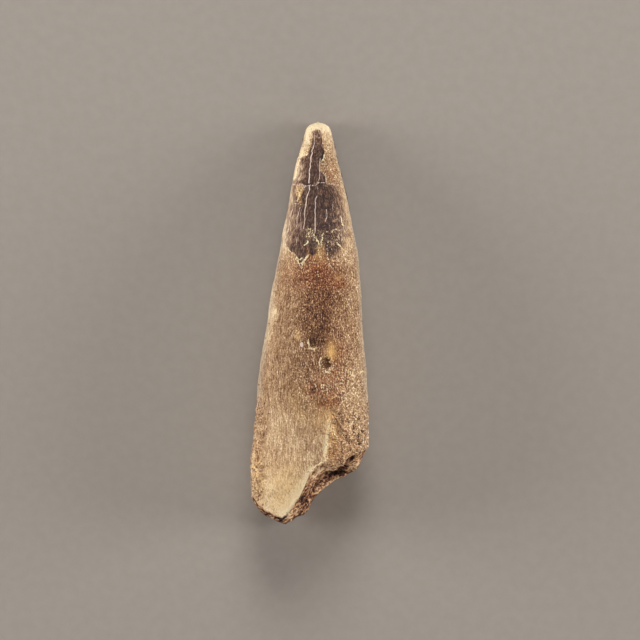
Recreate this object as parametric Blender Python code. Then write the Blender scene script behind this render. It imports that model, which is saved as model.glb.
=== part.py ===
# Fossil plesiosaur tooth, lying at rest on its hollow side with its convex face up.
# The tooth runs along Y with its tip at +Y, its width is along X, and Z is up from the surface it rests on.
# It is one body: the enamel crown, the root, its gritty crust and the broken base fossilised as one piece.
# Shapes are worked out in millimetres, and the last step puts them in metres.
import bmesh
import bpy
import numpy as np

METRES_PER_MM = 0.001

# Driving dimensions, in millimetres
TOOTH_LENGTH = 44.9
TIP_ROUND = 0.8          # length of the rounded, worn tip
ENAMEL_THICKNESS = 0.12
CRUST_THICKNESS = 0.38   # gritty crust that stands over the smooth root
BREAK_HOLLOW = 1.3       # depth of the pulp hollow in the broken base
REST_FLAT_DEPTH = 0.20   # how much the face that it rests on is worn flat

# Facets; the number around is a multiple of 8, so that the broken face can be filled with a square grid
FACES_AROUND = 80
TIP_ROWS = 6
WALL_ROWS = 48
ROW_CROWDING = 0.4       # how much closer together the rows are at the base than at the tip

# Sections: distance from the tip, then the left edge, right edge, underside and top there
SECTIONS = np.array((
    (0.0, -0.28, 2.12, 0.00, 2.30),
    (1.2, -0.62, 2.42, 0.00, 2.80),
    (3.6, -1.30, 3.07, 0.12, 4.10),
    (7.0, -2.04, 3.93, 0.50, 5.70),
    (11.0, -2.76, 4.73, 0.85, 7.30),
    (15.5, -3.62, 5.52, 1.00, 8.80),
    (19.0, -4.30, 5.79, 0.90, 9.70),
    (23.5, -4.93, 5.92, 0.58, 10.40),
    (28.0, -5.60, 6.30, 0.24, 10.80),
    (32.0, -5.96, 6.53, 0.00, 11.00),
    (36.0, -6.38, 6.60, 0.00, 10.90),
    (39.5, -6.64, 6.58, 0.06, 10.50),
    (42.0, -6.40, 6.35, 0.22, 9.70),
    (TOOTH_LENGTH, -5.70, 5.90, 0.50, 8.60),
))

# The broken base: distance from the tip at places across the width, from the left edge (-1) to the right (1)
BREAK_FRONT = np.array((
    (-1.00, 42.10), (-0.97, 42.80), (-0.87, 43.60), (-0.70, 44.20), (-0.55, 44.40), (-0.46, 44.05),
    (-0.32, 42.95), (-0.18, 41.80), (-0.09, 40.75), (-0.01, 39.35), (0.13, 38.25), (0.46, 38.25),
    (0.76, 37.15), (1.00, 36.35),
))
BREAK_BACK = np.array((
    (-1.00, 42.10), (-0.96, 43.00), (-0.92, 43.75), (-0.86, 44.10), (-0.70, 44.55), (-0.48, 44.90),
    (-0.36, 44.72), (-0.26, 44.25), (-0.14, 43.90), (-0.04, 43.45), (0.04, 42.30), (0.26, 40.80),
    (0.42, 40.05), (0.60, 39.60), (0.78, 38.90), (0.86, 38.15), (0.95, 36.85), (1.00, 36.35),
))

# Dents and a boss of the broken face: across, up and radius as shares of its outline, then the depth
BREAK_DENTS = ((0.60, 0.34, 0.30, 0.75), (-0.15, 0.05, 0.55, 0.50), (0.76, -0.16, 0.26, -0.55))

# The smooth strip of root that the crust has left bare: its two sides, as (Y, X), and how it starts
STRIP_RIGHT = np.array((
    (-18.0, -0.1), (-16.2, 0.4), (-15.7, 1.3), (-14.7, 1.85), (-13.5, 2.05), (-12.2, 2.0), (-8.0, 2.9),
))
STRIP_LEFT = np.array(((-19.5, -6.4), (-18.4, -5.8), (-14.0, -5.8), (-11.5, -5.6), (-8.0, -5.4)))
STRIP_TOP = -7.5         # Y where the strip starts to sink
STRIP_DEEP = -11.5       # Y from which it has its full depth
STRIP_EDGE = 0.35        # width of the slope between the strip and the crust

# Crown: Y of the enamel's lower end, how far that wanders, and the width of its edge
ENAMEL_END = 7.2
ENAMEL_END_WANDER = 1.1
ENAMEL_END_SIZE = 1.7
ENAMEL_EDGE = 0.5
ROOT_FULL = 1.5          # Y below which the root is as stout as the enamel above it

# Areas where the enamel has flaked off, as (X, Y, half width, half height)
FLAKED = ((2.9, 18.2, 1.15, 2.7), (-0.75, 19.9, 0.75, 1.3), (-1.25, 14.3, 0.62, 1.0))

# Pits, as (X, Y, radius, depth)
PITS = (
    (1.75, -4.20, 0.62, 0.55),
    (0.70, -2.35, 0.72, 0.30),
    (5.63, -13.25, 0.45, 0.45),
    (5.50, -10.80, 0.42, 0.40),
    (4.85, -11.60, 0.40, 0.36),
    (-6.30, -16.60, 0.40, 0.40),
    (-6.30, -17.60, 0.36, 0.40),
    (-5.90, -15.40, 0.32, 0.30),
)

# Ridges of the hollow side of the crown: their number and height, and the two ends over which they fade
BACK_RIDGES = 10
BACK_RIDGE_HEIGHT = 0.13
BACK_RIDGE_ROOT_END = (5.5, 9.0)     # Y
BACK_RIDGE_TIP_END = (1.0, 4.0)      # distance from the tip

# Uneven surfaces: the height, the size across and the seed of each layer of lumps
BODY_LUMPS = ((0.09, 4.2, 1), (0.05, 1.7, 2))
CRUST_LUMPS = ((0.16, 1.5, 3), (0.14, 0.8, 4))
ENAMEL_END_SEED = 5
BREAK_LUMPS = ((0.30, 2.1, 6), (0.20, 0.9, 7))
BREAK_EDGE_LUMPS = ((0.10, 0.30, 8), (0.06, 0.13, 9))   # sizes as shares of the outline
CRUST_TOP = (-7.5, -11.0)            # Y over which the crust grows from nothing to its full roughness
CRUST_UNDERSIDE = (0.4, 2.5)         # height over which it grows from the smooth underside
FRONT_BLEND = 0.6                    # half width of the change from the back to the front, in height

BROWN = (0.235, 0.150, 0.088, 1.0)
FOSSIL_ROUGHNESS = 0.62


def smooth_curve(places, values, at):
    """Values at 'at' on a smooth curve through the stations."""
    slopes = np.gradient(values, places)
    i = np.clip(np.searchsorted(places, at) - 1, 0, len(places) - 2)
    step = places[i + 1] - places[i]
    t = np.clip((at - places[i]) / step, 0, 1)
    rise = values[i + 1] - values[i]
    bend = (1 - t) * (slopes[i] * step - rise) - t * (slopes[i + 1] * step - rise)
    return values[i] + t * rise + t * (1 - t) * bend


def smooth_step(low, high, at):
    """0 below low, 1 above high, and an even S between them."""
    t = np.clip((at - low) / (high - low), 0, 1)
    return t * t * (3 - 2 * t)


def lattice_value(ix, iy, iz, seed):
    """A repeatable value from -1 to 1 for each whole-numbered point."""
    mixed = (ix * 374761393 + iy * 668265263 + iz * 1440662683 + seed * 974634777) & 0xFFFFFFFF
    mixed = ((mixed ^ (mixed >> 13)) * 1274126177) & 0xFFFFFFFF
    return ((mixed ^ (mixed >> 16)) & 0xFFFF) / 32767.5 - 1


def lumps(points, size, seed):
    """Smooth lumps from about -1 to 1, each about 'size' across."""
    scaled = points / size + 100
    corner = np.floor(scaled).astype(np.int64)
    t = scaled - corner
    t = t * t * (3 - 2 * t)
    total = 0
    for dx in (0, 1):
        for dy in (0, 1):
            for dz in (0, 1):
                share = (
                    np.abs(1 - dx - t[..., 0]) * np.abs(1 - dy - t[..., 1]) * np.abs(1 - dz - t[..., 2])
                )
                value = lattice_value(corner[..., 0] + dx, corner[..., 1] + dy, corner[..., 2] + dz, seed)
                total = total + share * value
    return total


def layered(points, layers):
    """The sum of several layers of lumps."""
    return sum(height * lumps(points, size, seed) for height, size, seed in layers)


def section_point(from_tip, across, up):
    """The point of the section at that distance from the tip; across and up run from -1 to 1."""
    places = SECTIONS[:, 0]
    left, right, under, top = (smooth_curve(places, SECTIONS[:, k], from_tip) for k in (1, 2, 3, 4))
    closing = np.sqrt(np.clip(1 - (1 - np.clip(from_tip / TIP_ROUND, 0, 1)) ** 2, 0, 1))
    x = (left + right) / 2 + (right - left) / 2 * across * closing
    z = (under + top) / 2 + (top - under) / 2 * up * closing
    return np.stack(np.broadcast_arrays(x, TOOTH_LENGTH / 2 - from_tip, z), axis=-1)


def break_distance(across, up):
    """Distance from the tip of the broken face, which slants from its front edge back to its rear edge."""
    front = np.interp(across, BREAK_FRONT[:, 0], BREAK_FRONT[:, 1])
    back = np.interp(across, BREAK_BACK[:, 0], BREAK_BACK[:, 1])
    reach = np.sqrt(np.clip(1 - across ** 2, 1e-4, 1))
    share = np.clip((up / reach + 1) / 2, 0, 1)
    place = np.stack((across, up, 0 * up), axis=-1)
    return back + (front - back) * share + layered(place, BREAK_EDGE_LUMPS)


def plain_rings():
    """Rings of points from the tip down to the edge of the broken face."""
    angle = np.arange(FACES_AROUND) * 2 * np.pi / FACES_AROUND
    across, up = np.cos(angle), np.sin(angle)
    edge = break_distance(across, up)
    rings = []
    for k in range(TIP_ROWS + 1):
        rings.append(section_point(TIP_ROUND * (1 - np.cos(k / TIP_ROWS * np.pi / 2)), across, up))
    for k in range(1, WALL_ROWS + 1):
        share = k / WALL_ROWS * (1 + ROW_CROWDING * (1 - k / WALL_ROWS))
        rings.append(section_point(TIP_ROUND + (edge - TIP_ROUND) * share, across, up))
    return np.array(rings)


def outward(rings):
    """Unit normals of a grid of rings."""
    along = np.gradient(rings, axis=0)
    around = np.roll(rings, -1, axis=1) - np.roll(rings, 1, axis=1)
    normal = np.cross(around, along)
    return normal / np.maximum(np.linalg.norm(normal, axis=-1, keepdims=True), 1e-9)


def strip_depth(x, y, front):
    """How far the bare strip of root lies under the crust beside it, and 1 inside the strip."""
    right = np.interp(y, STRIP_RIGHT[:, 0], STRIP_RIGHT[:, 1])
    left = np.interp(y, STRIP_LEFT[:, 0], STRIP_LEFT[:, 1])
    inside = smooth_step(0, STRIP_EDGE, right - x) * smooth_step(0, STRIP_EDGE, x - left) * front
    return CRUST_THICKNESS * inside * smooth_step(STRIP_TOP, STRIP_DEEP, y), inside


def enamel_cover(points, front):
    """1 where enamel still covers the crown, 0 where it has flaked off or never grew."""
    x, y = points[..., 0], points[..., 1]
    level = points * (1, 0, 1)
    end = ENAMEL_END + ENAMEL_END_WANDER * lumps(level, ENAMEL_END_SIZE, ENAMEL_END_SEED)
    cover = smooth_step(0, ENAMEL_EDGE, y - end)
    for centre_x, centre_y, half_width, half_height in FLAKED:
        spot = ((x - centre_x) / half_width) ** 2 + ((y - centre_y) / half_height) ** 2
        cover = cover * (1 - front * smooth_step(1.3, 0.8, spot))
    return cover


def relief(points):
    """How far each point of the rings stands out from the plain surface."""
    x, y, z = points[..., 0], points[..., 1], points[..., 2]
    from_tip = TOOTH_LENGTH / 2 - y
    underside = smooth_curve(SECTIONS[:, 0], SECTIONS[:, 3], from_tip)
    top = smooth_curve(SECTIONS[:, 0], SECTIONS[:, 4], from_tip)
    front = smooth_step(-FRONT_BLEND, FRONT_BLEND, z - (underside + top) / 2)

    bare = (1 - enamel_cover(points, front)) * smooth_step(ROOT_FULL, ENAMEL_END, y)
    sunk, in_strip = strip_depth(x, y, front)
    crust = smooth_step(*CRUST_TOP, y) * (1 - in_strip) * smooth_step(*CRUST_UNDERSIDE, z)
    height = layered(points, BODY_LUMPS) + crust * layered(points, CRUST_LUMPS)
    height = height - ENAMEL_THICKNESS * bare - sunk

    angle = np.arange(FACES_AROUND) * 2 * np.pi / FACES_AROUND
    ridged = (1 - front) * smooth_step(*BACK_RIDGE_ROOT_END, y) * smooth_step(*BACK_RIDGE_TIP_END, from_tip)
    height = height + BACK_RIDGE_HEIGHT * np.cos(angle * 2 * BACK_RIDGES) * ridged

    for pit_x, pit_y, radius, depth in PITS:
        away = np.hypot(x - pit_x, y - pit_y) / radius
        height = height - depth * front * smooth_step(1.2, 0.3, away)
    return height


def square_on_disc(side):
    """Across, up and distance from the middle of a square grid, bent so that its border is a circle."""
    a, b = np.meshgrid(np.linspace(-1, 1, side + 1), np.linspace(-1, 1, side + 1), indexing="ij")
    sideways = np.abs(a) > np.abs(b)
    radius = np.where(sideways, a, b)
    safe = np.where(radius == 0, 1, radius)
    angle = np.where(sideways, np.pi / 4 * b / safe, np.pi / 2 - np.pi / 4 * a / safe)
    return radius * np.cos(angle), radius * np.sin(angle), np.abs(radius)


def broken_face(edge_shift):
    """The grid of points of the broken face; near its border it follows the shift of the wall's last ring."""
    across, up, away = square_on_disc(FACES_AROUND // 4)
    distance = break_distance(across, up) - BREAK_HOLLOW * (1 - away ** 2)
    for dent_across, dent_up, radius, depth in BREAK_DENTS:
        distance = distance - depth * smooth_step(1, 0, np.hypot(across - dent_across, up - dent_up) / radius)
    points = section_point(distance, across, up)
    points[..., 1] -= layered(points, BREAK_LUMPS) * (1 - away ** 4)
    turn = np.arctan2(up, across) % (2 * np.pi)
    angle = np.arange(FACES_AROUND) * 2 * np.pi / FACES_AROUND
    for k in range(3):
        points[..., k] += away ** 4 * np.interp(turn, angle, edge_shift[:, k], period=2 * np.pi)
    return points


def tooth_points():
    """All rings, of which the first is a single point at the tip, and the grid of the broken face."""
    plain = plain_rings()
    shift = outward(plain) * relief(plain)[..., None]
    shift[0] = 0
    return worn_flat(plain + shift, broken_face(shift[-1]))


def worn_flat(rings, face):
    """The lowest places, under the root and at the tip, are worn level where the tooth rests."""
    level = min(rings[..., 2].min(), face[..., 2].min()) + REST_FLAT_DEPTH
    for points in (rings, face):
        points[..., 2] = np.maximum(points[..., 2] - level, 0)
    return rings, face


def closed_mesh(name, rings, face):
    """A closed mesh of the rings, with one point at the tip and the grid over the broken face."""
    shape = bmesh.new()
    tip = shape.verts.new(rings[0, 0])
    loops = [[shape.verts.new(point) for point in ring] for ring in rings[1:]]
    for k in range(FACES_AROUND):
        following = (k + 1) % FACES_AROUND
        shape.faces.new((tip, loops[0][following], loops[0][k]))
        for upper, lower in zip(loops, loops[1:]):
            shape.faces.new((upper[k], upper[following], lower[following], lower[k]))

    side = FACES_AROUND // 4
    across, up, away = square_on_disc(side)
    column = np.rint(np.arctan2(up, across) / (2 * np.pi) * FACES_AROUND).astype(int) % FACES_AROUND
    grid = [[None] * (side + 1) for _ in range(side + 1)]
    for i in range(side + 1):
        for j in range(side + 1):
            on_edge = i in (0, side) or j in (0, side)
            grid[i][j] = loops[-1][column[i, j]] if on_edge else shape.verts.new(face[i, j])
    for i in range(side):
        for j in range(side):
            shape.faces.new((grid[i][j], grid[i + 1][j], grid[i + 1][j + 1], grid[i][j + 1]))
    bmesh.ops.triangulate(shape, faces=shape.faces)
    mesh = bpy.data.meshes.new(name)
    shape.to_mesh(mesh)
    shape.free()
    mesh.shade_smooth()
    return mesh


def fossil_material():
    material = bpy.data.materials.new("brown_fossil")
    material.use_nodes = True
    shader = material.node_tree.nodes["Principled BSDF"]
    shader.inputs["Base Color"].default_value = BROWN
    shader.inputs["Roughness"].default_value = FOSSIL_ROUGHNESS
    shader.inputs["Metallic"].default_value = 0.0
    return material


def build():
    for old in list(bpy.data.objects):
        bpy.data.objects.remove(old)
    rings, face = tooth_points()
    centre = (rings.min(axis=(0, 1)) + rings.max(axis=(0, 1))) / 2 * (1, 1, 0)
    mesh = closed_mesh("tooth", (rings - centre) * METRES_PER_MM, (face - centre) * METRES_PER_MM)
    tooth = bpy.data.objects.new("tooth", mesh)
    tooth.data.materials.append(fossil_material())
    bpy.context.scene.collection.objects.link(tooth)


build()
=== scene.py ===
# A fossil marine reptile tooth, lying on its hollow side and seen from above.
# Shapes are worked out in millimetres: X across the tooth, Y along it with the tip at +Y, Z up.
import math

import bpy
import numpy as np
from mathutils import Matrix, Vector


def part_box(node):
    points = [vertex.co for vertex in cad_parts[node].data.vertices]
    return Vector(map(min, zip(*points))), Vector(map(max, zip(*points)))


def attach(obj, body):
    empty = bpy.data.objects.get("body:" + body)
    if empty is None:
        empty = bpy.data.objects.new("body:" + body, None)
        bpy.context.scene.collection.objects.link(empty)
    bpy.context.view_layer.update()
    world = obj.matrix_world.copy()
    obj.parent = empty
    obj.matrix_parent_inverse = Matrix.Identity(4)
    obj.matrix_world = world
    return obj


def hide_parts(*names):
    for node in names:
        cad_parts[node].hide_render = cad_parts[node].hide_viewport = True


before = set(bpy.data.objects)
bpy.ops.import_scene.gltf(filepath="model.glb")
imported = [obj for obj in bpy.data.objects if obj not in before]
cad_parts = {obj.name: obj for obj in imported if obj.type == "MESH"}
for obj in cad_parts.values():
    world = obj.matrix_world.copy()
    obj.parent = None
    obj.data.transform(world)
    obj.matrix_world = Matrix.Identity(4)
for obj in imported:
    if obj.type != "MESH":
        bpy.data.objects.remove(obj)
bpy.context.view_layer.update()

metresPerMm = 0.001

# The form of the tooth, the same as its solid has
tooth = {
    "length": 44.9,
    "tipRound": 0.8,
    "columns": 304,              # a multiple of 8, because the broken face is filled with a square grid
    "frontCrowding": 0.3,        # how much closer together the columns are on the face that shows
    "tipRows": 12,
    "wallRows": 272,
    "restFlatDepth": 0.20,
    # distance from the tip, then the left edge, right edge, underside and top there
    "sections": (
        (0.0, -0.28, 2.12, 0.00, 2.30), (1.2, -0.62, 2.42, 0.00, 2.80),
        (3.6, -1.30, 3.07, 0.12, 4.10), (7.0, -2.04, 3.93, 0.50, 5.70),
        (11.0, -2.76, 4.73, 0.85, 7.30), (15.5, -3.62, 5.52, 1.00, 8.80),
        (19.0, -4.30, 5.79, 0.90, 9.70), (23.5, -4.93, 5.92, 0.58, 10.40),
        (28.0, -5.60, 6.30, 0.24, 10.80), (32.0, -5.96, 6.53, 0.00, 11.00),
        (36.0, -6.38, 6.60, 0.00, 10.90), (39.5, -6.64, 6.58, 0.06, 10.50),
        (42.0, -6.40, 6.35, 0.22, 9.70), (44.9, -5.70, 5.90, 0.50, 8.60)),
    "bodyLumps": ((0.09, 4.2, 1), (0.05, 1.7, 2)),     # height, size across and seed of each layer
    "roomAtBox": 0.35,           # the last stretch before the solid's box, in which the relief is eased
}

# The broken base: distance from the tip across the width, from the left edge (-1) to the right edge (1)
brokenBase = {
    "front": ((-1.00, 42.10), (-0.97, 42.80), (-0.87, 43.60), (-0.70, 44.20), (-0.55, 44.40),
              (-0.46, 44.05), (-0.32, 42.95), (-0.18, 41.80), (-0.09, 40.75), (-0.01, 39.35),
              (0.13, 38.25), (0.46, 38.25), (0.76, 37.15), (1.00, 36.35)),
    "back": ((-1.00, 42.10), (-0.96, 43.00), (-0.92, 43.75), (-0.86, 44.10), (-0.70, 44.55),
             (-0.48, 44.90), (-0.36, 44.72), (-0.26, 44.25), (-0.14, 43.90), (-0.04, 43.45),
             (0.04, 42.30), (0.26, 40.80), (0.42, 40.05), (0.60, 39.60), (0.78, 38.90), (0.86, 38.15),
             (0.95, 36.85), (1.00, 36.35)),
    "hollow": 1.3,
    "crumbsEnd": 8,              # powers of the way out: how late the crumbs end and the edge begins
    "edgeStart": 6,
    "dents": ((0.60, 0.34, 0.30, 0.75), (-0.15, 0.05, 0.55, 0.50), (0.76, -0.16, 0.26, -0.55)),
    "edgeLumps": ((0.10, 0.30, 8), (0.06, 0.13, 9), (0.035, 0.05, 18)),
    "lumps": ((0.30, 2.1, 6), (0.20, 0.9, 7), (0.18, 0.45, 16), (0.12, 0.24, 17)),
    # a crumbly groove along the middle of the break, sunk and painted black as its shade, as X and Y, its
    # half width and its depth
    "groove": ((4.60, -14.90), (4.20, -15.40), (3.64, -16.25), (2.44, -16.95), (1.39, -17.80),
               (0.64, -18.70), (0.04, -19.60), (-1.00, -20.30), (-1.60, -21.10)),
    "grooveWidth": 0.62,
    "grooveDepth": 0.35,
    "grooveRagged": 0.9,         # how far the crumbs move its edge
    "grooveLumps": (0.55, 27),   # size across and seed
    "gapLumps": (0.9, 28),       # gaps along it, and the height over which one opens
    "gapRange": (-0.9, 0.3),
    "grooveFaint": 0.30,         # its strength on the left, and the X over which it becomes full
    "grooveFull": (1.6, 3.0),
    # the break's colour on the wall's last rings along the lower left edge, and the X over which it starts
    "edgeRings": (0.25, 0.5, 0.8, 1.0),
    "edgeFull": (-1.9, -2.8),
    "edgeShare": 0.5,
    "edgeGroove": 0.7,
    # lighter places of the break, as soft spots like the stains
    "pale": ((1.00, -16.70, 0.90, 0.60, 0.18), (5.00, -15.90, 0.80, 0.70, 0.12),
             (0.40, -18.00, 1.00, 1.00, 0.10), (-0.70, -20.70, 0.90, 0.80, -0.22),
             (4.20, -16.20, 0.60, 0.40, 0.10)),
}

# The gritty crust round the root, and the smooth strip of root that it leaves bare
crust = {
    "thickness": 0.38,
    "right": ((-18.0, -0.1), (-16.2, 0.4), (-15.7, 1.3), (-14.7, 1.85), (-13.5, 2.05), (-12.2, 2.0),
              (-8.0, 2.9)),
    "left": ((-19.5, -6.4), (-18.4, -5.8), (-14.0, -5.8), (-11.5, -5.6), (-8.0, -5.4)),
    "stripTop": -7.5,
    "stripDeep": -11.5,
    "edge": 0.35,
    "leftEdge": 1.10,
    "top": (-7.5, -11.0),
    "underside": (0.4, 2.5),
    "lumps": ((0.16, 1.5, 3), (0.14, 0.8, 4), (0.09, 0.40, 13), (0.06, 0.22, 14)),
    "settled": 0.12,             # how far the lumps lie below the solid's surface on the whole
    # X, Y, radius and depth
    "pits": ((0.36, -2.25, 0.62, 0.12), (5.51, -10.65, 0.24, 0.30), (4.97, -10.97, 0.22, 0.28),
             (5.90, -11.20, 0.18, 0.26), (4.89, -11.70, 0.26, 0.30), (5.51, -12.55, 0.26, 0.34),
             (5.46, -13.00, 0.22, 0.32), (5.62, -13.40, 0.26, 0.36), (6.10, -14.24, 0.20, 0.28),
             (4.20, -11.30, 0.14, 0.20), (4.10, -12.40, 0.15, 0.20), (3.25, -10.00, 0.16, 0.22),
             (4.85, -10.05, 0.16, 0.22), (-6.12, -14.20, 0.18, 0.26), (-6.19, -15.66, 0.25, 0.30),
             (-6.27, -16.34, 0.21, 0.30), (-6.12, -16.80, 0.18, 0.28), (-6.45, -17.35, 0.26, 0.30),
             (-6.38, -18.15, 0.18, 0.28), (-6.25, -18.96, 0.22, 0.30), (-6.05, -19.60, 0.16, 0.24)),
    # the one large pit, as an outline with uneven corners
    "deepPit": ((1.80, -3.48), (1.66, -3.88), (1.34, -3.98), (1.42, -4.22), (1.18, -4.40), (1.38, -4.66),
                (1.40, -4.94), (1.72, -4.98), (1.84, -5.20), (2.06, -4.98), (2.40, -4.92), (2.34, -4.62),
                (2.50, -4.48), (2.20, -4.24), (2.24, -3.98), (1.98, -3.84)),
    "deepPitDepth": 0.26,
}

# The enamel of the crown, and where it has flaked away
enamel = {
    "thickness": 0.12,
    "end": 7.2,
    "endWander": 1.1,
    "endSize": 1.7,
    "rootFull": 1.5,
    "endSeed": 5,
    "upper": ((0.24, 21.40), (0.60, 21.60), (1.08, 21.56), (1.32, 21.20), (1.40, 20.30), (1.64, 19.10),
              (1.67, 18.60), (1.39, 18.15), (1.20, 17.90), (1.12, 16.95), (1.74, 16.56), (1.94, 16.17),
              (1.79, 15.40), (-3.00, 15.40), (-3.00, 18.30), (-1.10, 18.42), (-0.60, 18.60),
              (-0.25, 18.90), (0.06, 19.64), (0.22, 20.60)),
    "lower": ((-0.64, 15.40), (3.10, 15.35), (3.70, 14.00), (4.20, 12.00), (4.40, 10.00), (3.80, 8.60),
              (3.00, 7.60), (2.20, 7.20), (1.75, 7.80), (1.50, 9.00), (1.30, 8.90), (1.14, 8.55),
              (0.92, 8.75), (0.75, 8.30), (0.62, 7.65), (0.25, 7.40), (-0.05, 7.65), (-0.18, 8.30),
              (-0.45, 8.45), (-0.35, 7.60), (-0.62, 7.14), (-0.80, 6.74), (-1.05, 6.68), (-1.26, 6.74),
              (-1.48, 7.02), (-1.48, 7.40), (-1.73, 7.70), (-2.20, 7.92), (-2.70, 8.60), (-3.40, 9.20),
              (-4.00, 13.20), (-4.00, 15.40), (-1.55, 15.40), (-1.70, 14.60), (-1.45, 13.90),
              (-1.25, 13.30), (-0.80, 13.35), (-1.00, 14.00), (-0.78, 14.60)),
    "ridges": 10,
    "ridgeHeight": 0.13,
    "ridgeRootEnd": (5.5, 9.0),
    "ridgeTipEnd": (1.0, 4.0),
}

# Fine pale cracks of the enamel, each as its half width and its points
crackLines = (
    (0.020, ((0.45, 20.95), (0.44, 20.18), (0.37, 19.71))),
    (0.046, ((0.37, 19.71), (0.25, 19.28), (0.19, 18.90), (0.09, 18.52), (0.02, 18.00), (0.02, 17.50),
             (-0.06, 16.90), (-0.07, 16.30), (-0.15, 15.58))),
    (0.036, ((-0.05, 15.20), (-0.13, 14.56), (-0.33, 14.02), (-0.49, 13.26), (-0.54, 12.45),
             (-0.60, 11.50), (-0.68, 10.38))),
    (0.014, ((-0.67, 14.80), (-0.60, 15.12), (-0.48, 15.26), (0.10, 15.27), (0.74, 15.26), (0.86, 15.10),
             (0.94, 14.70))),
    (0.004, ((0.94, 14.70), (0.99, 14.30), (0.80, 14.12))),
    (0.040, ((0.80, 14.12), (0.63, 13.70), (0.57, 13.20), (0.57, 12.45), (0.57, 11.82), (0.57, 10.67),
             (0.58, 9.95))),
    (0.022, ((1.16, 18.43), (1.11, 17.80), (1.11, 17.16), (1.03, 16.34), (0.95, 15.80))),
    (0.022, ((1.14, 16.86), (1.46, 16.78), (1.74, 16.50), (1.85, 16.09), (1.78, 15.64))),
    (0.016, ((1.70, 18.10), (1.76, 17.50), (1.80, 17.10))),
    (0.028, ((1.88, 12.60), (1.90, 12.13), (1.88, 11.62), (1.72, 11.24))),
    (0.010, ((2.55, 13.41), (2.55, 13.03), (2.60, 12.52))),
    (0.022, ((-1.09, 12.90), (-1.28, 12.16), (-1.43, 11.40), (-1.55, 10.55))),
    (0.012, ((-1.97, 12.70), (-2.17, 11.80), (-2.35, 10.95), (-2.48, 10.10))),
    (0.006, ((-1.43, 9.50), (-1.46, 9.00), (-1.50, 8.50))),
    (0.004, ((-0.95, 12.60), (-1.02, 11.60), (-1.08, 10.20))),
    (0.150, ((-0.90, -2.30), (-0.84, -2.48))),
)

# The crack that runs round the crown, as points from left to right
ringCrack = ((-3.0, 15.42), (-1.28, 15.45), (-0.76, 15.38), (-0.56, 15.17), (-0.06, 15.30), (0.60, 15.26),
             (0.84, 15.54), (1.40, 15.62), (1.94, 15.52), (2.55, 15.48), (3.06, 15.42), (3.8, 15.2))
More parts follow.
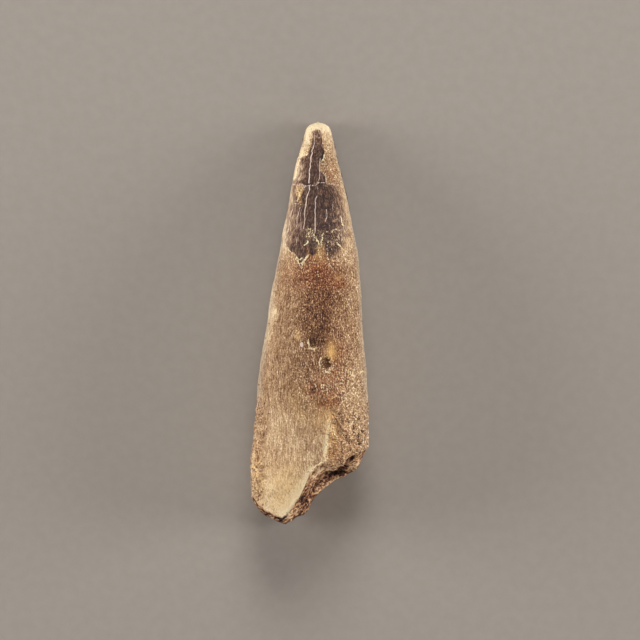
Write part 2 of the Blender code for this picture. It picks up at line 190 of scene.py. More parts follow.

# Bright cream edges: of the enamel, of the pits, and of the crust beside the bare strip; the line along the
# crown's left edge is a painted highlight, and the crust's edge partly one
creamLines = (
    (0.045, ((-2.48, 8.05), (-2.20, 7.97), (-2.04, 7.80), (-1.78, 7.76), (-1.66, 7.50), (-1.46, 7.42),
             (-1.62, 7.06), (-1.40, 6.84))),
    (0.065, ((-1.40, 6.84), (-1.24, 6.58), (-0.98, 6.60), (-0.84, 6.46), (-0.72, 6.78), (-0.54, 7.02),
             (-0.44, 7.24), (-0.24, 7.50))),
    (0.028, ((-1.44, 7.24), (-1.22, 6.96), (-0.98, 7.06), (-0.82, 7.20))),
    (0.030, ((-2.40, 8.35), (-2.32, 8.10))),
    (0.045, ((-0.62, 8.58), (-0.40, 8.72), (-0.22, 9.00), (-0.28, 9.20))),
    (0.050, ((0.44, 9.78), (0.50, 9.44), (0.66, 9.34), (0.72, 9.12), (0.94, 9.02), (1.04, 8.66),
             (1.22, 8.58), (1.38, 8.74))),
    (0.035, ((1.38, 8.74), (1.24, 8.98), (1.38, 9.30), (1.34, 9.62), (1.54, 9.96))),
    (0.040, ((-0.20, 10.36), (-0.16, 10.30))),
    (0.030, ((0.04, 10.44), (0.06, 10.38))),
    (0.050, ((-0.12, 9.90), (-0.08, 9.82))),
    (0.035, ((-0.36, 9.58), (-0.34, 9.50))),
    (0.045, ((0.06, 10.08), (0.10, 10.02))),
    (0.055, ((-0.04, 9.62), (0.00, 9.52))),
    (0.030, ((0.26, 9.86), (0.30, 9.80))),
    (0.030, ((0.30, 10.22), (0.34, 10.18))),
    (0.030, ((0.95, 8.15), (0.92, 7.90), (1.08, 7.70), (1.12, 7.40), (1.30, 7.20))),
    (0.022, ((1.98, 8.00), (1.94, 7.60), (2.03, 7.20), (2.20, 6.45), (2.45, 6.15), (2.72, 6.05))),
    (0.045, ((3.02, 8.86), (3.25, 8.62), (3.45, 8.44), (3.72, 8.18))),
    (0.025, ((2.34, 9.96), (2.60, 10.28), (3.06, 10.41))),
    (0.030, ((3.45, 11.80), (3.55, 11.30), (3.69, 10.80))),
    (0.080, ((-1.60, 19.05), (-1.10, 18.85), (-0.75, 18.72), (-0.45, 18.72), (-0.28, 18.85))),
    (0.050, ((1.62, 18.80), (1.66, 18.50), (1.50, 18.20), (1.33, 18.10))),
    (0.030, ((-0.05, 20.70), (-0.10, 20.30), (-0.16, 19.90))),
    # painted highlight along the crown's left edge
    (0.045, ((-1.06, 18.60), (-1.34, 17.60), (-1.60, 16.70), (-1.76, 16.00))),
    (0.035, ((-0.72, 15.10), (-0.84, 14.85), (-1.06, 14.62))),
    (0.045, ((-1.20, 14.50), (-1.26, 14.00), (-1.34, 13.55))),
    (0.012, ((-1.94, 13.22), (-1.41, 13.20), (-0.56, 13.14))),
    (0.055, ((-1.34, 6.42), (-1.10, 6.20), (-0.87, 6.02))),
    (0.010, ((-0.87, 6.02), (-0.30, 5.78), (0.10, 5.62))),
    (0.030, ((0.60, 5.50), (0.86, 5.40), (1.02, 5.22))),
    (0.055, ((0.34, 6.74), (0.40, 6.70))),
    (0.070, ((-0.18, -1.92), (-0.14, -2.50), (0.04, -2.78), (0.49, -2.95), (0.80, -2.72))),
    (0.042, ((1.22, -3.90), (1.16, -4.14), (1.00, -4.36), (1.14, -4.62), (1.18, -4.90), (1.40, -5.08),
             (1.62, -5.18), (1.84, -5.38), (2.10, -5.22), (2.46, -5.14), (2.56, -4.86))),
    (0.014, ((2.56, -4.86), (2.66, -4.60), (2.44, -4.30))),
    (0.040, ((1.36, -5.30), (1.62, -5.52), (1.98, -5.44), (2.30, -5.56))),
    (0.060, ((3.92, -5.20), (4.05, -5.36))),
    (0.060, ((4.34, -5.60), (4.62, -5.78), (4.92, -5.90))),
    (0.050, ((5.40, -5.72), (5.58, -5.48), (5.72, -5.30))),
    (0.030, ((3.30, -5.70), (3.52, -6.02), (3.80, -6.10))),
    (0.040, ((4.00, -7.98), (3.86, -8.28), (3.96, -8.52))),
    (0.040, ((5.30, -9.00), (5.48, -9.22))),
    (0.060, ((3.62, -6.28), (3.70, -6.32))),
    (0.070, ((4.66, -6.74), (4.74, -6.78))),
    (0.070, ((3.86, -8.28), (3.96, -8.32))),
    (0.020, ((0.30, -6.20), (0.60, -6.90), (0.95, -7.60))),
    (0.020, ((1.75, -6.80), (1.95, -7.40), (1.80, -8.00))),
    (0.010, ((-1.15, -7.60), (-0.75, -8.20), (-0.55, -9.00), (-0.60, -10.40))),
    # the crust's edge beside the bare strip: partly its pale rim, partly a painted highlight on its lit edge
    (0.090, ((2.28, -10.90), (2.10, -11.80), (1.98, -12.50), (1.92, -13.40), (1.88, -14.40),
             (1.70, -15.20))),
    (0.060, ((1.70, -15.20), (1.40, -15.42), (0.95, -15.68), (0.37, -16.00), (0.02, -16.60))),
    (0.045, ((-0.06, -16.90), (-0.46, -17.80), (-1.16, -19.00), (-2.06, -20.20), (-2.76, -21.20))),
    (0.045, ((2.62, -11.60), (2.80, -12.30), (3.10, -12.90))),
)

# Wide soft pale bands: beside the break of the tongue, along the crust's edge, and up the crown's left side;
# the band up the crown's left side is a painted highlight, and the one along the crust's edge partly one
paleBands = (
    (0.26, ((0.10, -16.40), (-0.35, -17.20), (-0.85, -18.10), (-1.60, -19.20), (-2.45, -20.40),
            (-3.00, -21.20))),
    # along the crust's edge: partly a painted highlight on its lit edge
    (0.12, ((2.25, -10.80), (1.95, -12.80), (1.92, -14.30), (1.70, -15.30))),
    # painted highlight up the crown's left edge
    (0.10, ((-1.90, 16.20), (-1.65, 17.40), (-1.45, 18.60))),
)

# Stains and colour areas: X, Y, half width, half height and strength of each soft spot
stains = {
    "tone": ((1.20, 2.60, 1.90, 2.80, -0.16), (0.90, -1.20, 1.50, 2.00, -0.13),
             (0.36, -2.15, 0.55, 0.50, -0.26), (5.00, -11.60, 1.40, 1.90, 0.17),
             (1.24, -2.10, 0.40, 0.45, -0.14), (2.35, -3.10, 0.45, 0.75, 0.18),
             (2.60, 8.00, 1.10, 1.20, 0.06), (2.40, 11.80, 0.70, 2.40, -0.08),
             (0.40, 5.60, 2.20, 1.80, 0.02), (0.85, 21.25, 0.45, 0.28, -0.16),
             (-0.30, 20.55, 0.25, 0.45, 0.22), (1.53, 18.95, 0.12, 0.55, -0.45),
             (0.75, 20.00, 0.50, 0.90, 0.12), (-2.25, 14.40, 0.55, 1.20, 0.40),
             (-1.15, 14.75, 0.35, 0.45, -0.14), (-1.20, 13.85, 0.40, 0.40, -0.30),
             (-2.95, 9.80, 0.35, 1.60, 0.36), (-2.80, 11.40, 0.40, 2.20, 0.18),
             (3.95, 10.60, 0.45, 2.60, 0.14), (-4.60, 1.50, 0.60, 3.40, 0.26),
             (-1.80, 19.00, 0.30, 1.80, 0.20), (0.20, -11.20, 1.80, 1.80, -0.06),
             (0.30, -7.20, 0.60, 0.70, -0.04), (1.90, -8.70, 0.80, 0.50, -0.12),
             (-0.60, -5.90, 1.30, 1.30, -0.08), (1.50, -6.20, 1.30, 1.50, 0.05),
             (0.95, 22.60, 1.70, 1.25, 0.80), (-0.45, 20.45, 0.40, 1.10, 0.26),
             (-1.10, 19.20, 0.50, 0.42, 0.36), (2.20, 20.40, 0.60, 1.40, 0.19),
             (2.70, 17.60, 0.70, 1.60, 0.03), (-3.90, 1.30, 0.24, 0.42, 0.32),
             (5.30, 3.80, 0.12, 0.32, 0.30), (-1.40, -1.30, 0.45, 0.50, 0.14),
             (-3.00, -19.40, 2.60, 2.80, 0.26), (-2.90, -21.30, 0.60, 0.60, 0.10),
             (-6.20, -15.50, 0.55, 4.20, 0.36), (4.00, -14.40, 1.80, 0.90, 0.19),
             (0.20, 8.10, 0.45, 0.60, -0.06), (0.05, 9.95, 0.45, 0.40, 0.12),
             (2.50, -11.60, 0.55, 1.60, 0.18), (-4.50, -9.00, 2.40, 5.00, 0.06),
             (4.60, 5.80, 0.60, 4.00, 0.02), (-3.60, 6.00, 1.40, 4.00, 0.04),
             (4.60, -8.20, 1.60, 2.40, 0.08), (5.20, -1.00, 1.00, 4.00, 0.04),
             (-2.00, -13.50, 3.40, 3.00, 0.06), (-2.10, 11.20, 0.90, 3.20, 0.28),
             (-1.30, 17.20, 0.60, 1.60, 0.44), (3.50, 12.40, 0.90, 3.50, 0.22),
             (4.00, 9.20, 0.80, 2.00, 0.06), (0.45, -7.30, 0.35, 0.40, -0.14),
             (1.70, -8.70, 0.60, 0.40, -0.12), (-4.60, -18.00, 0.60, 0.90, 0.12),
             (-3.10, -20.80, 0.80, 0.60, 0.12), (-4.90, -20.30, 0.50, 0.60, 0.10),
             (-3.60, -19.30, 0.60, 0.50, -0.08), (-2.30, -18.10, 0.60, 0.60, 0.06)),
    "grit": ((2.60, 11.00, 1.30, 3.20, 0.60), (0.90, 9.60, 1.20, 1.10, 0.60),
             (0.80, 21.20, 0.60, 0.45, 0.90), (2.60, 8.20, 1.10, 1.40, 0.65),
             (-1.80, 8.60, 0.60, 1.20, 0.20)),
    "porous": ((5.00, -11.60, 1.50, 1.90, 1.30), (-6.35, -16.60, 0.50, 2.40, 1.10),
               (4.20, -8.60, 1.20, 1.20, 0.25)),
    # places with cream flecks
    "fleck": ((4.70, -6.20, 1.60, 1.40, 0.80), (4.50, -8.80, 1.40, 1.40, 1.00),
              (4.90, -11.20, 1.40, 1.80, 0.80), (-1.15, 14.75, 0.40, 0.40, 0.50),
              (-0.30, -6.20, 0.35, 0.25, 0.80), (1.20, -7.20, 1.10, 1.10, 0.40),
              (0.05, 9.90, 0.45, 0.45, 0.80), (1.10, 8.60, 0.60, 0.60, 0.50),
              (0.40, 6.70, 0.50, 0.30, 0.60), (-6.20, -15.50, 0.50, 3.60, 0.55),
              (2.70, -13.80, 0.50, 1.20, 0.40), (-0.60, -8.60, 0.60, 0.90, 0.30)),
    "red": ((0.80, 6.40, 1.20, 1.00, 0.48), (-0.90, 5.20, 1.70, 1.50, 0.42),
            (2.20, 5.00, 1.50, 1.50, 0.42), (3.30, 4.40, 0.50, 0.50, 0.60),
            (1.80, -6.70, 1.90, 2.20, 0.45), (0.35, -7.30, 0.55, 0.55, 0.70),
            (1.95, -8.70, 0.90, 0.60, 0.70), (3.10, -3.60, 1.10, 2.60, 0.40),
            (3.40, -11.60, 0.80, 2.20, 0.25), (2.60, -14.40, 0.60, 0.80, 0.45),
            (4.00, -14.40, 1.60, 0.70, 0.30), (4.60, -12.40, 1.30, 1.60, 0.20),
            (2.60, 16.60, 0.60, 0.80, 0.25), (0.20, 7.90, 0.50, 0.70, 0.40),
            (1.20, 1.50, 1.90, 4.00, 0.30), (-2.60, -15.60, 2.40, 1.80, 0.12)),
    "gold": ((1.15, 7.70, 0.40, 0.80, 0.60), (3.10, 4.95, 0.28, 0.28, 0.45),
             (2.38, -3.10, 0.42, 0.75, 1.30), (2.60, -11.60, 0.45, 1.50, 0.90),
             (2.50, -13.80, 0.40, 1.20, 0.70), (-2.80, -18.80, 2.20, 2.40, 0.75),
             (-6.30, -15.80, 0.55, 3.80, 1.10), (0.95, 21.90, 1.10, 0.45, 0.30),
             (-1.15, 14.60, 0.45, 0.70, 0.60), (-1.15, -9.20, 1.20, 1.60, 0.25),
             (1.60, -10.60, 1.00, 1.40, 0.45), (-1.00, 19.00, 0.50, 0.40, 0.40),
             (-1.30, -1.30, 0.25, 0.50, 0.50)),
}

def smoothStep(low, high, at):
    # 0 below low, 1 above high, and 3 t^2 - 2 t^3 between them
    t = np.clip((at - low) / (high - low), 0, 1)
    return t * t * (3 - 2 * t)


def smoothCurve(table, column, at):
    # cubic pieces through the stations, whose slopes are taken from the stations on both sides
    places = table[:, 0]
    values = table[:, column]
    slopes = np.gradient(values, places)
    i = np.clip(np.searchsorted(places, at) - 1, 0, len(places) - 2)
    step = places[i + 1] - places[i]
    t = np.clip((at - places[i]) / step, 0, 1)
    rise = values[i + 1] - values[i]
    bend = (1 - t) * (slopes[i] * step - rise) - t * (slopes[i + 1] * step - rise)
    return values[i] + t * rise + t * (1 - t) * bend


def latticeValue(ix, iy, iz, seed):
    # whole numbers mixed by multiplying and folding their bits, scaled to -1..1
    mixed = (ix * 374761393 + iy * 668265263 + iz * 1440662683 + seed * 974634777) & 0xFFFFFFFF
    mixed = ((mixed ^ (mixed >> 13)) * 1274126177) & 0xFFFFFFFF
    return ((mixed ^ (mixed >> 16)) & 0xFFFF) / 32767.5 - 1


def lumps(points, size, seed):
    # the values at the eight corners of a lattice cell, blended with smoothed weights
    offset = 100
    scaled = points / size + offset
    corner = np.floor(scaled).astype(np.int64)
    t = scaled - corner
    t = t * t * (3 - 2 * t)
    total = 0
    for dx in (0, 1):
        for dy in (0, 1):
            for dz in (0, 1):
                share = np.abs(1 - dx - t[..., 0]) * np.abs(1 - dy - t[..., 1]) * np.abs(1 - dz - t[..., 2])
                total = total + share * latticeValue(
                    corner[..., 0] + dx, corner[..., 1] + dy, corner[..., 2] + dz, seed)
    return total


def layered(points, layers):
    return sum(height * lumps(points, size, seed) for height, size, seed in layers)


sections = np.array(tooth["sections"])


def sectionPoint(fromTip, across, up):
    # an ellipse through the four edges of the section, closed by a quarter circle at the tip
    left, right, under, top = (smoothCurve(sections, k, fromTip) for k in (1, 2, 3, 4))
    closing = np.sqrt(np.clip(1 - (1 - np.clip(fromTip / tooth["tipRound"], 0, 1)) ** 2, 0, 1))
    x = (left + right) / 2 + (right - left) / 2 * across * closing
    z = (under + top) / 2 + (top - under) / 2 * up * closing
    return np.stack(np.broadcast_arrays(x, tooth["length"] / 2 - fromTip, z), axis=-1)


def breakDistance(across, up):
    # at each place across, a straight slant from the front edge to the back edge, roughened by lumps
    front, back = (np.interp(across, *np.array(brokenBase[edge]).T) for edge in ("front", "back"))
    reach = np.sqrt(np.clip(1 - across ** 2, 1e-4, 1))
    share = np.clip((up / reach + 1) / 2, 0, 1)
    place = np.stack((across, up, 0 * up), axis=-1)
    return back + (front - back) * share + layered(place, brokenBase["edgeLumps"])


def crowded(angle):
    # angles moved towards the quarter turn that faces up, by a cosine
    return angle + tooth["frontCrowding"] * np.cos(angle)


def wallGrid():
    # rings from the tip to the broken edge: rows along, columns round
    angle = crowded(np.arange(tooth["columns"]) * 2 * np.pi / tooth["columns"])
    across, up = np.cos(angle), np.sin(angle)
    tip = tooth["tipRound"] * (1 - np.cos(np.linspace(0, np.pi / 2, tooth["tipRows"] + 1)))
    share = np.linspace(0, 1, tooth["wallRows"] + 1)[1:, None]
    wall = tooth["tipRound"] + (breakDistance(across, up) - tooth["tipRound"]) * share
    fromTip = np.concatenate((np.repeat(tip[:, None], tooth["columns"], axis=1), wall))
    return sectionPoint(fromTip, across, up), angle


def outward(grid):
    # the cross product of the step round and the step along, at length 1
    along = np.gradient(grid, axis=0)
    around = np.roll(grid, -1, axis=1) - np.roll(grid, 1, axis=1)
    normal = np.cross(around, along)
    return normal / np.maximum(np.linalg.norm(normal, axis=-1, keepdims=True), 1e-9)


def nearLine(x, y, corners):
    # distance to the nearest stretch of an open line
    nearest = np.full(x.shape, 1e3)
    for (ax, ay), (bx, by) in zip(corners, corners[1:]):
        t = np.clip(((x - ax) * (bx - ax) + (y - ay) * (by - ay)) / ((bx - ax) ** 2 + (by - ay) ** 2), 0, 1)
        nearest = np.minimum(nearest, np.hypot(x - ax - t * (bx - ax), y - ay - t * (by - ay)))
    return nearest


def inOutline(x, y, corners):
    # distance to the outline, counted positive where a ray to the right crosses it an odd number of times
    closed = corners + corners[:1]
    inside = np.zeros(x.shape, bool)
    for (ax, ay), (bx, by) in zip(closed, closed[1:]):
        crosses = (ay > y) != (by > y)
        rise = by - ay if by != ay else 1e-9
        inside ^= crosses & (x < ax + (y - ay) * (bx - ax) / rise)
    return np.where(inside, 1, -1) * nearLine(x, y, closed)


def softSpots(x, y, spots):
    # a sum of bell-shaped spots
    steepness = 0.7
    total = np.zeros(x.shape)
    for spotX, spotY, halfWidth, halfHeight, strength in spots:
        away = ((x - spotX) / halfWidth) ** 2 + ((y - spotY) / halfHeight) ** 2
        total += strength * np.exp(-steepness * away)
    return total


def outsideLines(x, y, lines):
    # distance to the nearest line less its half width, so it is below 0 on a line, and 1 at most
    outside = np.ones(x.shape)
    for halfWidth, corners in lines:
        outside = np.minimum(outside, nearLine(x, y, corners) - halfWidth)
    return outside


# How the wall's marks are bent and faded; lumps are the height, size across and seed of each layer
marks = {
    "frontRange": (-0.45, -0.05),        # how far up a place faces where the face that shows begins
    "frontLumps": ((0.16, 1.3, 29), (0.12, 0.4, 30)),
    "sideLumps": ((0.05, 0.55, 21), (0.05, 0.26, 22)),
    "lengthLumps": ((0.06, 0.50, 23), (0.05, 0.24, 24)),
    "pitLumps": ((0.30, 0.50, 25), (0.22, 0.26, 26)),
    "behindEnd": (-0.2, 0.5),            # the hidden enamel's lower end, and its end at the worn tip
    "behindTip": (0.5, 1.4),
    "upperEdge": 0.07,
    # width of the lower enamel's edge, how much wider it is at the right and left, and from which X
    "lowerEdge": 0.10,
    "widerRight": 0.90,
    "rightRange": (1.3, 2.4),
    "widerLeft": 0.60,
    "leftRange": (-1.9, -2.8),
    "ringFade": (3.2, 4.2),              # X over which the ring crack dies away
    "ringFadeRight": 0.5,
    "ringFadeBehind": 0.4,
    "deepPitMask": (-0.05, 0.10),
    "deepPitSlope": (-0.08, 0.35),
    "pitMask": (1.0, 0.5),
    "pitSlope": (1.2, 0.3),
    "fullPitDepth": 0.3,
    "paleBandTone": 0.28,
    "paleBandEdge": (0.5, -0.1),
    "rimLightRange": (0.60, 0.05),           # painted rim light: a pale tint on the steep flanks, as side light gives them, which ends below the tip
    "rimLightTop": (21.6, 20.0),
    "rimLightTone": 0.06,
    # how speckled the surface is: the root, what the bare strip and the left take off, the tip and the enamel
    "rootGrit": 0.95,
    "smootherBare": 0.40,
    "bareLeft": (-0.8, -2.8),
    "smootherTip": 0.75,
    "tipRange": (19.5, 21.8),
    "enamelGrit": 0.10,
}


def wallFields(points, normals):
    # every mask and soft value of the wall, all as arrays over the grid
    x, y, z = points[..., 0], points[..., 1], points[..., 2]
    fromTip = tooth["length"] / 2 - y
    front = smoothStep(*marks["frontRange"], normals[..., 2] + layered(points, marks["frontLumps"]))
    hidden = 1 - front
    wavyX = x + layered(points, marks["sideLumps"])
    wavyY = y + layered(points, marks["lengthLumps"])
    field = {"front": front}

    # enamel: two outlines on the face that shows, and all round down to a wandering end elsewhere
    wander = lumps(points * (1, 0, 1), enamel["endSize"], enamel["endSeed"])
    end = enamel["end"] + enamel["endWander"] * wander
    behind = smoothStep(*marks["behindEnd"], y - end) * smoothStep(*marks["behindTip"], fromTip)
    upper = smoothStep(-marks["upperEdge"], marks["upperEdge"], inOutline(wavyX, wavyY, enamel["upper"]))
    edge = marks["lowerEdge"] + marks["widerRight"] * smoothStep(*marks["rightRange"], x)
    edge = edge + marks["widerLeft"] * smoothStep(*marks["leftRange"], x)
    lower = smoothStep(-1, 1, inOutline(wavyX, wavyY, enamel["lower"]) / edge)
    field["enamel"] = front * np.maximum(upper, lower) + hidden * behind

    # distances from the lines; each fades away behind
    ringPlaces = np.array(ringCrack)
    ringY = np.interp(wavyX, ringPlaces[:, 0], ringPlaces[:, 1])
    field["ring"] = np.abs(wavyY - ringY) + marks["ringFadeRight"] * smoothStep(*marks["ringFade"], x)
    field["ring"] = field["ring"] + marks["ringFadeBehind"] * hidden
    field["crack"] = outsideLines(wavyX, wavyY, crackLines) + hidden
    field["cream"] = outsideLines(wavyX, wavyY, creamLines) + hidden

    # the bare strip and the crust round it
    right = np.interp(y, *np.array(crust["right"]).T)
    left = np.interp(y, *np.array(crust["left"]).T)
    inStrip = smoothStep(0, crust["edge"], right - wavyX) * smoothStep(0, crust["leftEdge"], wavyX - left)
    inStrip = inStrip * front
    field["strip"] = inStrip * smoothStep(crust["stripTop"], crust["stripDeep"], y)
    field["sunk"] = field["strip"] * crust["thickness"]
    field["crust"] = smoothStep(*crust["top"], y) * (1 - inStrip) * smoothStep(*crust["underside"], z)

    # pits: the large one from its outline, and the others round with a bent edge
    inPit = inOutline(wavyX, wavyY, crust["deepPit"])
    pit = smoothStep(*marks["deepPitMask"], inPit)
    depth = crust["deepPitDepth"] * smoothStep(*marks["deepPitSlope"], inPit)
    bent = layered(points, marks["pitLumps"])
    for pitX, pitY, radius, pitDepth in crust["pits"]:
        away = np.hypot(wavyX - pitX, wavyY - pitY) / radius + bent
        strength = min(1, pitDepth / marks["fullPitDepth"])
        pit = np.maximum(pit, smoothStep(*marks["pitMask"], away) * strength)
        depth += pitDepth * smoothStep(*marks["pitSlope"], away)
    field["pit"] = pit * front
    field["pitDepth"] = depth * front

    # soft stains, the pale bands and the painted rim light of the steep flanks
    for name, spots in stains.items():
        field[name] = softSpots(wavyX, wavyY, spots) * front
    banded = smoothStep(*marks["paleBandEdge"], outsideLines(wavyX, wavyY, paleBands))
    field["tone"] += marks["paleBandTone"] * banded * front
    # painted light: faces that point sideways are made paler and lighter in tone, standing in for side light
    field["veil"] = smoothStep(*marks["rimLightRange"], normals[..., 2]) * smoothStep(*marks["rimLightTop"], y)
    field["tone"] += marks["rimLightTone"] * field["veil"]

    # how speckled the surface is: most on the root, less on the bare strip, least on the enamel
    bareShare = np.maximum(field["strip"], smoothStep(*marks["bareLeft"], x))
    onRoot = marks["rootGrit"] - marks["smootherBare"] * bareShare
    onRoot = onRoot * (1 - marks["smootherTip"] * smoothStep(*marks["tipRange"], y))
    onEnamel = marks["enamelGrit"] + field["grit"]
    field["grit"] = onRoot * (1 - field["enamel"]) + onEnamel * field["enamel"]
    return field


# Fine relief of the wall, in height; lumps are the height, size across and seed of each layer
relief = {
    "fibres": (0.018, 0.34, 31),
    "fibreStretch": 0.10,
    "grain": 0.045,
    "grainLumps": ((0.6, 0.42, 32), (0.4, 0.24, 33)),
    "smootherStrip": 0.7,
    "crackDepth": 0.05,
    "crackEdge": (0.06, -0.03),
    "creamHeight": 0.05,
    "creamEdge": (0.08, -0.03),
}


def wallRelief(points, angle, field):
    # the solid's own relief, then finer fibres, grain, cracks and raised cream edges
    y = points[..., 1]
    fromTip = tooth["length"] / 2 - y
    bare = (1 - field["enamel"]) * smoothStep(enamel["rootFull"], enamel["end"], y)
    crusty = layered(points, crust["lumps"]) - crust["settled"]
    height = layered(points, tooth["bodyLumps"]) + field["crust"] * crusty
    height = height - enamel["thickness"] * bare - field["sunk"] - field["pitDepth"]
    ridged = (1 - field["front"]) * smoothStep(*enamel["ridgeRootEnd"], y)
    ridged = ridged * smoothStep(*enamel["ridgeTipEnd"], fromTip)
    height = height + enamel["ridgeHeight"] * np.cos(angle * 2 * enamel["ridges"]) * ridged

    fibres = layered(points * (1, relief["fibreStretch"], 1), (relief["fibres"],))
    grain = layered(points, relief["grainLumps"])
    rough = (1 - field["enamel"]) * (1 - relief["smootherStrip"] * field["strip"])
    height = height + fibres + relief["grain"] * grain * rough
    height = height - relief["crackDepth"] * smoothStep(*relief["crackEdge"], field["crack"])
    return height + relief["creamHeight"] * smoothStep(*relief["creamEdge"], field["cream"])


def squareOnDisc(side):
    # a square grid bent so that each of its square rings is a circle, in equal steps of angle at its border
    a, b = np.meshgrid(np.linspace(-1, 1, side + 1), np.linspace(-1, 1, side + 1), indexing="ij")
    sideways = np.abs(a) > np.abs(b)
    radius = np.where(sideways, a, b)
    safe = np.where(radius == 0, 1, radius)
    angle = np.where(sideways, np.pi / 4 * b / safe, np.pi / 2 - np.pi / 4 * a / safe)
    angle = np.where(radius < 0, angle + np.pi, angle) % (2 * np.pi)
    return angle, np.abs(radius)


def brokenGrid(edgeShift, edgeAngle):
    # the slanting face with its hollow, dents and crumbs; near its border it follows the wall's last ring
    angle, away = squareOnDisc(tooth["columns"] // 4)
    across, up = away * np.cos(crowded(angle)), away * np.sin(crowded(angle))
    distance = breakDistance(across, up) - brokenBase["hollow"] * (1 - away ** 2)
    for dentAcross, dentUp, radius, depth in brokenBase["dents"]:
        distance = distance - depth * smoothStep(1, 0, np.hypot(across - dentAcross, up - dentUp) / radius)
    points = sectionPoint(distance, across, up)
    crumbs = layered(points, brokenBase["lumps"])
    inside = 1 - away ** brokenBase["crumbsEnd"]
    atEdge = away ** brokenBase["edgeStart"]
    points[..., 1] -= crumbs * inside
    for k in range(3):
        points[..., k] += atEdge * np.interp(angle, edgeAngle, edgeShift[:, k], period=2 * np.pi)
    fromGroove = nearLine(points[..., 0], points[..., 1], brokenBase["groove"])
    moved = brokenBase["grooveRagged"] * lumps(points, *brokenBase["grooveLumps"]) * np.abs(crumbs)
    groove = smoothStep(brokenBase["grooveWidth"], 0, fromGroove + moved)
    groove = groove * smoothStep(*brokenBase["gapRange"], lumps(points, *brokenBase["gapLumps"]))
    faint = brokenBase["grooveFaint"]
    groove = groove * (faint + (1 - faint) * smoothStep(*brokenBase["grooveFull"], points[..., 0]))
    points[..., 2] -= brokenBase["grooveDepth"] * groove * inside
    crumbs = crumbs + softSpots(points[..., 0], points[..., 1], brokenBase["pale"])
    return points, angle, away, crumbs, groove


def keptWithin(values, limit):
    # the last stretch before the limit takes up all that would reach past it
    room = tooth["roomAtBox"]
    over = np.maximum(np.abs(values) - (limit - room), 0)
    return np.sign(values) * (np.minimum(np.abs(values), limit - room) + room * np.tanh(over / room))


def makeMesh(name, points, faces, values):
    # one mesh of points and faces, with a named number for every point
    mesh = bpy.data.meshes.new(name)
    mesh.from_pydata((points * metresPerMm).tolist(), [], faces.tolist())
    for key, numbers in values.items():
        layer = mesh.attributes.new(key, "FLOAT", "POINT")
        layer.data.foreach_set("value", np.ascontiguousarray(numbers, np.float32))
    mesh.shade_smooth()
    piece = bpy.data.objects.new(name, mesh)
    bpy.context.scene.collection.objects.link(piece)
    return piece


def buildTooth():
    points, angle = wallGrid()
    normals = outward(points)
    field = wallFields(points, normals)
    shift = normals * wallRelief(points, angle, field)[..., None]
    shift[0] = 0
    wall = points + shift
    evenAngle = np.arange(tooth["columns"]) * 2 * np.pi / tooth["columns"]
    face, faceAngle, away, crumbs, groove = brokenGrid(shift[-1], evenAngle)

    # the fine shape is laid on the solid's own place, and its lowest places are level with the floor
    low, high = (np.array(corner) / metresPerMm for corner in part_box("tooth"))
    level = min(wall[..., 2].min(), face[..., 2].min()) + tooth["restFlatDepth"]
    everyPoint = np.concatenate((wall.reshape(-1, 3), face.reshape(-1, 3)))
    moved = (low + high - everyPoint.min(axis=0) - everyPoint.max(axis=0)) / 2 * (1, 1, 0) - (0, 0, level)
    for part in (wall, face):
        part += moved
        part[..., 2] = keptWithin(np.maximum(part[..., 2], 0), high[2])
        part[..., 0] = keptWithin(part[..., 0], high[0])
        part[..., 1] = np.clip(part[..., 1], low[1], high[1])

    # numbers of the points: the tip, then the rings, then the inside of the broken face
    columns = tooth["columns"]
    rows = len(wall) - 1
    ring = 1 + np.arange(rows * columns).reshape(rows, columns)
    following = np.roll(ring, -1, axis=1)
    tolerance = 1e-6
    border = away > 1 - tolerance
    grid = np.zeros(away.shape, int)
    grid[border] = ring[-1][np.rint(faceAngle[border] / (2 * np.pi) * columns).astype(int) % columns]
    grid[~border] = ring[-1, -1] + 1 + np.arange((~border).sum())
    tipFaces = np.stack((np.zeros(columns, int), following[0], ring[0]), axis=1)
    wallFaces = np.stack((ring[:-1], following[:-1], following[1:], ring[1:]), axis=-1)
    baseFaces = np.stack((grid[:-1, :-1], grid[1:, :-1], grid[1:, 1:], grid[:-1, 1:]), axis=-1)
    faces = tipFaces.tolist() + wallFaces.reshape(-1, 4).tolist() + baseFaces.reshape(-1, 4).tolist()
    allPoints = np.concatenate((wall[0, :1], wall[1:].reshape(-1, 3), face[~border]))

    # the break's colour runs on over the wall's last rings along the lower left edge
    onRings = np.array(brokenBase["edgeRings"])[:, None]
    lastRings = len(onRings)
    edgeShare = np.zeros((rows, columns))
    edgeShare[-lastRings:] = onRings * smoothStep(*brokenBase["edgeFull"], wall[-lastRings:, :, 0])
    field["broken"] = np.concatenate((np.zeros((1, columns)), edgeShare))
    field["broken"][-1] = np.maximum(field["broken"][-1], brokenBase["edgeShare"])
    field["crumbs"] = np.zeros(wall.shape[:2])
    field["groove"] = brokenBase["edgeGroove"] * field["broken"]

    # a number for every point, with its value on the broken face after those of the wall
    onBase = {"ring": 1.0, "crack": 1.0, "cream": 1.0, "broken": 1.0, "crumbs": crumbs[~border],
              "groove": groove[~border]}
    base = np.zeros((~border).sum())
    values = {}
    for key in ("enamel", "ring", "crack", "cream", "strip", "crust", "pit", "tone", "red", "gold",
                "grit", "veil", "porous", "fleck", "broken", "crumbs", "groove"):
        flat = field[key]
        values[key] = np.concatenate((flat[0, :1], flat[1:].reshape(-1), base + onBase.get(key, 0)))
    piece = makeMesh("fine_tooth", allPoints, np.array(faces, dtype=object), values)
    print("tooth:", len(allPoints), "points")
    return piece, wall, outward(wall), field


# Node helpers: each returns the socket that carries its result
def addNode(tree, kind, links=(), **settings):
    made = tree.nodes.new(kind)
    for key, value in settings.items():
        setattr(made, key, value)
    for key, value in dict(links).items():
        if isinstance(value, bpy.types.NodeSocket):
            tree.links.new(value, made.inputs[key])
        else:
            made.inputs[key].default_value = value
    return made


